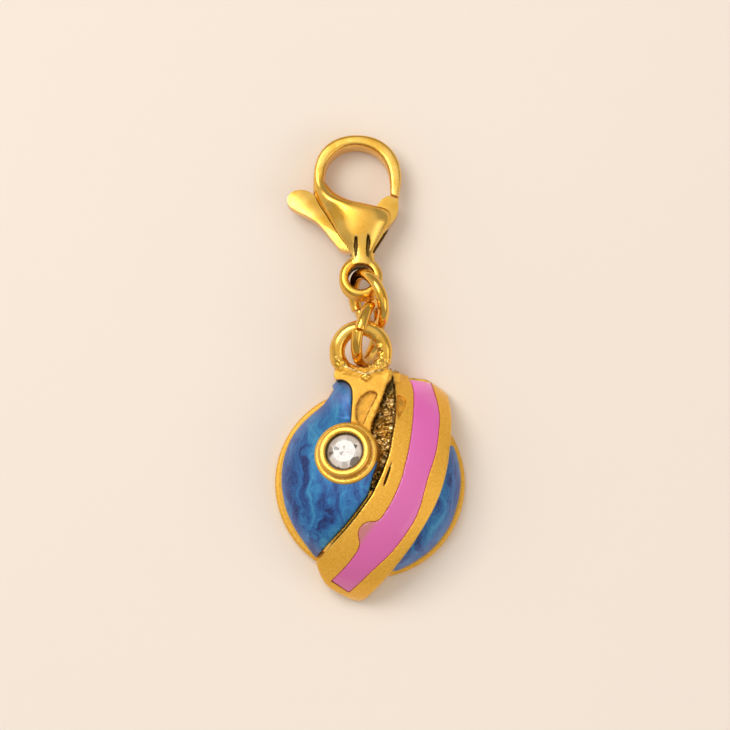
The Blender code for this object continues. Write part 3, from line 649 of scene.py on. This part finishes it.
    # Satin: the upper faces of belt, strap and rim, and half of it on the bezel
    belted = inside(beltOutline, x, y) & (z > 1.2)
    strapped = inside(strapOutline, x, y) & (z > 3.2)
    rimmed = (z < 1.4) & (y < 7.2)
    edge = (z > 2) * np.maximum(
        nearness(smoothRun(outline["beltLeft"]), x, y, 0.16),
        nearness(smoothRun(outline["beltRight"]), x, y, 0.14))
    beaded = np.clip(1.6 - np.hypot(x + 0.29, y - 7.52) / 0.28, 0, 1)
    matt = np.clip(normal[2] * 3 - 0.6, 0, 1) * (belted | (strapped & ~bezelled) | rimmed)
    paint(casting, "satin", np.maximum(matt * (1 - 0.9 * edge) * (1 - beaded), 0.45 * bezelled))
    casting.vertex_groups.clear()
    casting.data.materials.append(goldFinish("pendantGold", 0.16, 0.02, ("satin", "tarnish")))
    settle(casting, "charm", "pendant_gold", "pendant_body")
    print("casting done")


# Enamels: the gaps run between a field and the metal beside it
enamel = {
    "foot": 0.7, "beltGap": 0.26, "rimGap": 0.12, "rightGap": 0.10, "grain": 0.08, "keep": 0.8,
    "leftPasses": 14, "rightPasses": 5, "sheenFrom": 5.75, "sheenWidth": 0.75,
    "pinkFoot": 0.3, "pinkDrop": 0.05, "pinkDepth": 0.6, "pinkGrain": 0.075, "pinkPasses": 4,
}


def rimSheenMask(piece):
    # Painted sheen: rising towards the rim, from one radius over a width
    x, y, z = corners(piece)[0]
    return (np.hypot(x, y) - enamel["sheenFrom"]) / enamel["sheenWidth"]


def makeEnamels():
    # The left field borders the belt from its run's 54th point down
    beside = aside(smoothRun(outline["beltLeft"]), -enamel["beltGap"])[54:-1]
    fieldLeft = (
        beside + aside(smoothRun(outline["leftRim"]), enamel["rimGap"])[::-1]
        + aside(smoothRun(outline["leftLobe"]), -enamel["rimGap"])[::-1][1:-1]
        + along("-leftMiddle"))
    left = combine(
        slab("blueLeft", fieldLeft, enamel["foot"], above), "INTERSECT", bellow("leftTop"))
    recast(left, enamel["grain"], enamel["leftPasses"], enamel["keep"])
    # Painted sheen near the rim, for the blue finish
    paint(left, "rim", rimSheenMask(left))
    left.data.materials.append(blueFinish("blueEnamel"))
    settle(left, "charm", "enamel_blue_left", "enamel_blue_left")

    # The right field borders the belt between the ends of its rim
    side = [point for point in smoothRun(outline["beltRight"]) if point[1] < 2.68][6:]
    fieldRight = aside(side, enamel["rightGap"]) + smoothRun(outline["rightRim"])[::-1]
    right = combine(
        slab("blueRight", fieldRight, enamel["foot"], above), "INTERSECT", bellow("rightTop"))
    recast(right, enamel["grain"], enamel["rightPasses"], enamel["keep"])
    # Painted sheen near the rim, for the blue finish
    paint(right, "rim", rimSheenMask(right))
    right.data.materials.append(left.data.materials[0])
    settle(right, "charm", "enamel_blue_right", "enamel_blue_right")

    # The channel's sides without the points past the belt's top
    inner = channelSide[8:-1] + [(-2.80, -7.18)]
    outer = smoothRun(outline["channelRight"])[:-7]
    pink = combine(
        slab("pinkEnamel", inner + outer, enamel["pinkFoot"], above), "INTERSECT",
        beltDome("pinkTop", enamel["pinkDrop"]))
    combine(pink, "DIFFERENCE", beltDome("pinkFloor", enamel["pinkDepth"]))
    recast(pink, enamel["pinkGrain"], enamel["pinkPasses"], enamel["keep"])
    x, y, z = corners(pink)[0]
    # Line along which the stain leaves the channel
    edge = 0.80 + (y + 2.80) * 0.72
    paint(pink, "stain", ((edge - x) * 2.2 + 0.1) * (x < 0.75) * (y > -5.3) * (y < -2.7))
    # How far up the belt each point stands, for the pink's painted light
    paint(pink, "height", (y + 7.5) / 15)
    pink.data.materials.append(pinkFinish("pinkEnamel"))
    settle(pink, "charm", "enamel_pink", "enamel_pink")
    print("enamels done")


stoneCut = {
    "radius": 1.34, "crown": 0.36, "girdle": 0.05, "pavilion": 1.15, "table": 0.80, "drop": 0.05,
    "crownMains": 34, "crownHalves": 41, "tableStars": 22, "pavilionMains": 41, "pavilionHalves": 43,
    "edgeShadeFrom": 1.20, "edgeShadeTo": 1.27,
}


def makeStone():
    # Round brilliant sawn from a short rod, plane by plane
    cut = stoneCut
    stone = cylinder("stone", cut["radius"], -cut["pavilion"], cut["crown"], 64)

    def saw(angle, height, reach, slant):
        # One facet through the point at reach and height, leaning back by slant
        turn, rise = math.radians(angle), math.radians(slant)
        out = Vector((math.cos(turn), math.sin(turn), 0))
        upright = Vector((0, 0, math.copysign(math.cos(rise), height)))
        normal = (out * math.sin(rise) + upright).normalized()
        bpy.ops.mesh.select_all(action="SELECT")
        bpy.ops.mesh.bisect(plane_co=out * reach + Vector((0, 0, height)), plane_no=normal,
                            use_fill=True, clear_outer=True, threshold=1e-5)

    takeUp(stone)
    bpy.ops.object.mode_set(mode="EDIT")
    half = cut["girdle"] / 2
    for i in range(8):
        saw(45 * i, half, cut["radius"] * 0.985, cut["crownMains"])
        saw(45 * i, -half, cut["radius"] * 0.985, cut["pavilionMains"])
    for i in range(16):
        saw(22.5 * i + 11.25, half, cut["radius"] * 0.995, cut["crownHalves"])
        saw(22.5 * i + 11.25, -half, cut["radius"] * 0.995, cut["pavilionHalves"])
    for i in range(8):
        saw(45 * i + 22.5, cut["crown"], cut["table"], cut["tableStars"])
    bpy.ops.object.mode_set(mode="OBJECT")
    faceOut(stone)
    # A number for each facet; low numbers give a few dark facets, painted dark reflections
    facet = stone.data.attributes.new("facet", "FLOAT", "FACE")
    for face in stone.data.polygons:
        x, y, z = face.center
        face.use_smooth = False
        facet.data[face.index].value = 0.5 + 0.5 * math.sin(9.1 * x + 5.3 * y + 2.0)

    # Painted reflections: each cell of a wheel of sixteen spokes and a few circles flashes in its own
    # way, pale or dark, and a painted shadow ring darkens the stone's edge
    look = Finish("stoneClear", IOR=1.5, Coat_Weight=0.5, Coat_Roughness=0.03)
    local = look.add("ShaderNodeMapping", {"vector_type": "TEXTURE"}, {
        "Vector": look.place, "Location": bezel["centre"],
        "Rotation": tuple(bezelPlace.to_euler())})
    right = look.add("ShaderNodeSeparateXYZ", {}, {"Vector": local}, 0)
    up = look.add("ShaderNodeSeparateXYZ", {}, {"Vector": local}, 1)
    reach = (right * right + up * up) ** 0.5
    spoke = look.maths("FLOOR", look.maths("ARCTAN2", up, right) * (8 / math.pi) + 0.37, 0.0)
    circle = look.maths("FLOOR", reach * 2.6, 0.0)
    flash = look.add("ShaderNodeTexWhiteNoise", {"noise_dimensions": "1D"}, {
        "W": spoke * 1.37 + circle * 7.91 + 0.5})
    # Painted reflections: a few cells and facets go dark
    bright = look.within(flash, 0.03, 0.09) * look.within(look.painted("facet"), 0.02, 0.08)
    # Painted shadow ring at the stone's edge, in the gap to the seat
    paintedLightAndShade = bright * look.within(reach, cut["edgeShadeFrom"], cut["edgeShadeTo"], 1.0, 0.0)
    reflectionTone = look.within(flash + 0.4 * look.noise(6.0, 3.0), 0.2, 1.2)
    # Painted reflections: the pale cells a cream, lighter or darker cell by cell
    clear = look.blend(reflectionTone, (0.60, 0.555, 0.51), (0.80, 0.755, 0.71))
    stone.data.materials.append(look.feed(
        Base_Color=look.blend(paintedLightAndShade, (0.16, 0.13, 0.11), clear), Roughness=0.10 + 0.15 * flash))
    moved(stone, bezelPlace @ Matrix.Translation((
        0, 0, bezel["collarHeight"] - cut["crown"] - cut["drop"])))
    settle(stone, "charm", "stone_clear", "stone")
    print("stone done")


rings = {
    "jumpRingLower": {
        "node": "jump_ring_lower", "slot": "ring_gold_lower", "radius": 2.174, "seam": 184,
        "place": Matrix.Translation((-0.122, 10.853, 2.824))
        @ Matrix.Rotation(math.radians(-14.1), 4, "Z") @ Matrix.Rotation(math.radians(72.6), 4, "Y")},
    "jumpRingUpper": {
        "node": "jump_ring_upper", "slot": "ring_gold_upper", "radius": 1.964, "seam": 10,
        "place": Matrix.Translation((-0.093, 13.255, 2.600))
        @ Matrix.Rotation(math.radians(199.4), 4, "Z") @ Matrix.Rotation(math.radians(62.4), 4, "Y")},
}
ringWire = {"radius": 0.42, "gap": 0.12, "offset": 0.16, "steps": 120, "endRounding": 0.06}


def makeRings():
    for name, facts in rings.items():
        radius = facts["radius"]
        opening = ringWire["gap"] / radius / 2
        path = []
        for i in range(ringWire["steps"] + 1):
            # The wire's ends stand a little past each other at the seam
            t = i / ringWire["steps"]
            a = math.radians(facts["seam"]) + opening + (math.tau - 2 * opening) * t
            lift = ringWire["offset"] * (t - 0.5) * abs(2 * t - 1) ** 2
            path.append((radius * math.cos(a), radius * math.sin(a), lift))
        curve = bpy.data.curves.new(name, "CURVE")
        curve.dimensions = "3D"
        curve.bevel_depth = ringWire["radius"]
        curve.bevel_resolution = 8
        curve.use_fill_caps = True
        spline = curve.splines.new("POLY")
        spline.points.add(len(path) - 1)
        for point, spot in zip(spline.points, path):
            point.co = (*spot, 1)
        ring = bpy.data.objects.new(name, curve)
        bpy.context.scene.collection.objects.link(ring)
        takeUp(ring)
        bpy.ops.object.convert(target="MESH")
        ring = nameLast(name)
        bpy.ops.object.mode_set(mode="EDIT")
        bpy.ops.mesh.select_all(action="SELECT")
        bpy.ops.mesh.remove_doubles(threshold=weld)
        bpy.ops.object.mode_set(mode="OBJECT")
        useModifier(ring, "BEVEL", width=ringWire["endRounding"], segments=3,
                    limit_method="ANGLE", angle_limit=math.radians(50))
        bpy.ops.object.shade_smooth()
        moved(ring, facts["place"])
        ring.data.materials.append(goldFinish(name + "Gold", 0.10, 0.008))
        settle(ring, "charm", facts["slot"], facts["node"])
    print("rings done")


# Sections of hook and body: outer x, y, inner x, y, half height and squareness (body)
clasp = {
    "place": (-0.946, 21.812, 1.56), "tilt": -8.0, "hookSquareness": 4.6,
    "eyePlace": (0.28, -7.08), "eyeRadius": 1.6, "eyeHole": 0.92, "eyeHeight": 1.72,
    "leverThickness": 1.1, "slotPlay": 0.14, "pivot": (0.70, -4.66),
    "pinHole": 0.38, "leverRounding": 0.13, "grain": 0.055, "passes": 2, "keep": 0.5,
    "hook": [
        (3.05, -1.05, 2.42, -0.82, 0.66), (3.17, -0.30, 2.41, -0.32, 0.72),
        (3.25, 0.25, 2.39, 0.12, 0.78), (3.22, 0.99, 2.30, 0.80, 0.85),
        (3.03, 1.75, 2.08, 1.42, 0.91), (2.60, 2.50, 1.72, 1.98, 0.96),
        (1.90, 3.13, 1.18, 2.44, 1.00), (1.00, 3.52, 0.56, 2.71, 1.03),
        (0.00, 3.64, -0.05, 2.80, 1.05), (-0.92, 3.54, -0.64, 2.73, 1.05),
        (-1.72, 3.25, -1.18, 2.50, 1.05), (-2.38, 2.76, -1.68, 2.12, 1.05),
        (-2.84, 2.12, -2.04, 1.66, 1.05), (-3.09, 1.37, -2.26, 1.12, 1.06),
        (-3.18, 0.66, -2.34, 0.62, 1.08),
    ],
    "body": [
        (-3.22, 0.10, -2.36, 0.16, 1.08, 3.00), (-3.22, -0.40, -2.05, -0.18, 1.15, 2.50),
        (-3.14, -0.98, -1.45, -0.76, 1.35, 2.20), (-2.88, -1.60, -0.30, -1.32, 1.57, 2.10),
        (-2.55, -2.20, 1.10, -1.60, 1.66, 2.05), (-2.22, -2.80, 2.40, -1.98, 1.70, 2.10),
        (-1.92, -3.34, 2.68, -2.80, 1.62, 2.10), (-1.60, -3.90, 2.24, -3.70, 1.45, 2.15),
        (-1.22, -4.42, 1.80, -4.42, 1.26, 2.30), (-0.86, -4.86, 1.46, -4.94, 1.12, 2.50),
        (-0.56, -5.28, 1.26, -5.38, 1.04, 2.80), (-0.60, -5.76, 1.32, -5.82, 0.98, 3.00),
        (-0.56, -6.20, 1.24, -6.20, 0.94, 3.00),
    ],
    "slot": [
        (-4.00, -0.55), (-2.75, -0.68), (-2.10, -0.80), (-1.35, -0.60), (-0.90, -0.10),
        (1.20, -0.50), (2.30, -0.88), (3.40, -1.27), (3.30, -3.00), (1.90, -4.50), (1.50, -5.00),
        (1.05, -5.36), (0.50, -5.56), (-0.30, -5.62), (-1.20, -5.66), (-2.60, -5.60),
        (-4.60, -3.60),
    ],
    "lever": [
        (-4.15, -0.47), (-3.70, -0.53), (-3.22, -0.80), (-2.60, -1.30), (-1.70, -1.98),
        (-0.90, -2.32), (0.10, -2.28), (0.95, -1.98), (1.50, -1.58), (1.84, -1.18), (2.22, -0.95),
        (2.32, -0.93), (2.92, -1.13), (3.02, -1.22), (3.03, -1.80), (2.90, -2.40), (2.50, -2.98),
        (1.92, -3.62), (1.46, -4.18), (1.26, -4.70), (0.98, -5.06), (0.50, -5.18), (-0.20, -5.14),
        (-0.82, -5.06), (-1.22, -4.92), (-1.66, -4.42), (-2.26, -3.64), (-2.86, -2.96),
        (-3.52, -2.50), (-4.22, -2.16), (-4.80, -1.80), (-5.08, -1.40), (-5.04, -0.96),
        (-4.68, -0.58),
    ],
    "grooves": [(-0.10, -4.90, 1.50, -3.0), (0.80, -4.86, 1.60, -3.0)],
    "grooveWidth": 0.27, "grooveFloor": 0.90,
}
claspPlace = Matrix.Translation(clasp["place"]) @ Matrix.Rotation(
    math.radians(clasp["tilt"]), 4, "X")


def roundedSection(outer, inner, half, power, sides=48):
    # Points round one section, squarer as the power grows
    middle = (outer + inner) / 2
    reach = (outer - inner) / 2
    points = []
    for i in range(sides):
        c, s = math.cos(math.tau * i / sides), math.sin(math.tau * i / sides)
        w = math.copysign(abs(c) ** (2 / power), c)
        h = math.copysign(abs(s) ** (2 / power), s)
        points.append(middle + reach * w + Vector((0, 0, half * h)))
    return points


def makeClasp():
    rows = []
    hook = [(*section, clasp["hookSquareness"]) for section in clasp["hook"]]
    for x0, y0, x1, y1, half, power in smoothRun(hook + clasp["body"], 5):
        rows.append(roundedSection(Vector((x0, y0, 0)), Vector((x1, y1, 0)), half, power))
    count = len(rows[0])
    faces = [tuple(range(count)), tuple(range((len(rows) - 1) * count, len(rows) * count))]
    for j in range(len(rows) - 1):
        for i in range(count):
            k = (i + 1) % count
            faces.append((j * count + i, j * count + k, (j + 1) * count + k, (j + 1) * count + i))
    body = faceOut(newMesh("claspBody", [point for row in rows for point in row], (), faces))

    # The eye is three rounded leaves, one on the other
    height, hole, reach = clasp["eyeHeight"] / 2, clasp["eyeHole"], clasp["eyeRadius"]
    leaf = [(hole, height - 0.22), (hole + 0.12, height), (reach - 0.26, height),
            (reach - 0.05, height - 0.16), (reach, height - 0.36), (reach - 0.17, height - 0.56),
            (reach - 0.02, height - 0.76)]
    profile = leaf + [(r, -z) for r, z in leaf[::-1]]
    eyeSpot = Matrix.Translation((*clasp["eyePlace"], 0))
    eye = moved(turned("eye", profile + profile[:1]), eyeSpot)
    combine(body, "DIFFERENCE", moved(cylinder("eyeHole", hole + 0.05, -2, 2), eyeSpot))
    half = clasp["leverThickness"] / 2 + clasp["slotPlay"]
    combine(body, "DIFFERENCE", slab("slot", clasp["slot"], -half, half))
    for x, y, long, turn in clasp["grooves"]:
        for side in (1, -1):
            mark = cylinder("neckMark", clasp["grooveWidth"] / 2, clasp["grooveFloor"], 2, 24)
            moved(mark, Matrix.Diagonal((1, long / clasp["grooveWidth"], side, 1)))
            moved(mark, Matrix.Translation((x, y, 0)) @ Matrix.Rotation(math.radians(turn), 4, "Z"))
            combine(body, "DIFFERENCE", faceOut(mark))
    body = heap("claspBody", body, eye)
    recast(body, clasp["grain"], clasp["passes"], clasp["keep"])

    # Painted shade in the eye's hole, the neck's marks and the slot, satin on the worn middle
    x, y, z = corners(body)[0]
    away = np.hypot(x - clasp["eyePlace"][0], y - clasp["eyePlace"][1])
    hollow = np.clip((hole + 0.10 - away) * 12, 0, 1) * np.clip(1.2 - z, 0, 1)
    marked = np.zeros(x.shape)
    for spotX, spotY, long, turn in clasp["grooves"]:
        away = np.hypot((x - spotX) / (clasp["grooveWidth"] * 0.55), (y - spotY) / (long * 0.52))
        marked = np.maximum(marked, np.clip((1.15 - away) * 5, 0, 0.86))
    slotted = inside(clasp["slot"], x, y) * (np.abs(z) < clasp["leverThickness"] / 2 + 0.2)
    paint(body, "tarnish", np.maximum.reduce([hollow, marked * (np.abs(z) > 0.5), slotted * 0.85]))
    worn = np.hypot((x - 0.25) / 1.15, (y + 2.9) / 1.25)
    paint(body, "satin", np.clip((1.1 - worn) * 2, 0, 0.45) * (z > 0.5))
    moved(body, claspPlace)
    body.data.materials.append(goldFinish("claspGold", 0.23, 0.010, ("tarnish", "satin")))
    settle(body, "charm", "clasp_gold", "clasp_body")

    half = clasp["leverThickness"] / 2
    lever = slab("claspLever", closedRun(clasp["lever"], 5), -half, half)
    combine(lever, "DIFFERENCE", moved(
        cylinder("pinHole", clasp["pinHole"], -2, 2, 48),
        Matrix.Translation((*clasp["pivot"], 0))))
    useModifier(lever, "BEVEL", width=clasp["leverRounding"], segments=4, limit_method="ANGLE",
                angle_limit=math.radians(50))
    takeUp(lever)
    bpy.ops.object.shade_smooth_by_angle(angle=math.radians(35))
    moved(lever, claspPlace)
    lever.data.materials.append(goldFinish("leverGold", 0.17, 0.012))
    settle(lever, "lever", "lever_gold", "clasp_lever")

    # The pin stays as the CAD has it
    steel = Finish("pinSteel", Metallic=1.0)
    scratch = steel.noise(12.0, 3.0)
    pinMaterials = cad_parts["clasp_pivot_pin"].data.materials
    pinMaterials.clear()
    pinMaterials.append(steel.feed(
        Base_Color=steel.blend(scratch, (0.42, 0.40, 0.37), (0.58, 0.56, 0.52)),
        Roughness=0.22 + 0.15 * scratch))
    print("clasp done")


makeCasting()
makeEnamels()
makeStone()
makeRings()
makeClasp()

# Table, lights and camera
view = {
    "aim": (-0.365, 8.47, 3.0), "distance": 300.0, "elevation": 85.0, "lens": 203.4, "sensor": 36,
}
studio = {
    "warmth": (1.0, 0.968, 0.928), "light": 0.40, "lampAim": (0, 8, 0),
    # Soft patches of the sky: direction, brightness, angles of full light and of none
    "patches": [((0, 0.1, 1), 0.46, 12, 50), ((0.80, -0.25, 0.55), 0.5, 6, 20),
        ((-0.9, 0.1, 0.35), 0.3, 8, 40)],
}
bpy.context.scene.view_settings.view_transform = "Standard"
clearSelection()
bpy.ops.mesh.primitive_plane_add(size=4, location=(0, 0, -0.00002))
table = nameLast("table")
cloth = Finish("tableTop")
table.data.materials.append(cloth.feed(
    Base_Color=cloth.blend(cloth.noise(0.02, 2.0), (0.89, 0.79, 0.69), (0.92, 0.82, 0.72)),
    Roughness=0.75 + 0.1 * cloth.noise(1.0, 2.0)))


def softBox(name, place, size, power, colour):
    clearSelection()
    bpy.ops.object.light_add(type="AREA", location=[value * mm for value in place])
    lamp = nameLast(name)
    lamp.data.shape = "RECTANGLE"
    lamp.data.size = size[0] * mm
    lamp.data.size_y = size[1] * mm
    lamp.data.energy = power
    lamp.data.color = colour
    aim = Vector(studio["lampAim"]) * mm - lamp.location
    lamp.rotation_euler = aim.to_track_quat("-Z", "Y").to_euler()


softBox("keyLight", (-160, 140, 335), (210, 210), 0.70, (1.0, 0.98, 0.95))
softBox("fillLight", (260, -120, 240), (300, 200), 0.16, (1.0, 0.97, 0.93))

world = bpy.data.worlds.new("studio")
bpy.context.scene.world = world
world.use_nodes = True
sky = Board(world.node_tree)
glow = studio["light"]
for direction, strength, near, far in studio["patches"]:
    glow = glow + strength * sky.facing(direction, near, far)
background = world.node_tree.nodes["Background"]
background.inputs["Color"].default_value = (*studio["warmth"], 1)
world.node_tree.links.new(glow.socket, background.inputs["Strength"])

rise = math.radians(view["elevation"])
forward = Vector((0, math.cos(rise), -math.sin(rise)))
bpy.ops.object.camera_add(location=(Vector(view["aim"]) - forward * view["distance"]) * mm)
camera = nameLast("camera")
camera.rotation_euler = (math.radians(90 - view["elevation"]), 0, 0)
camera.data.lens = view["lens"]
camera.data.sensor_width = view["sensor"]
camera.data.clip_start = 0.01
camera.data.clip_end = 20
bpy.context.scene.camera = camera
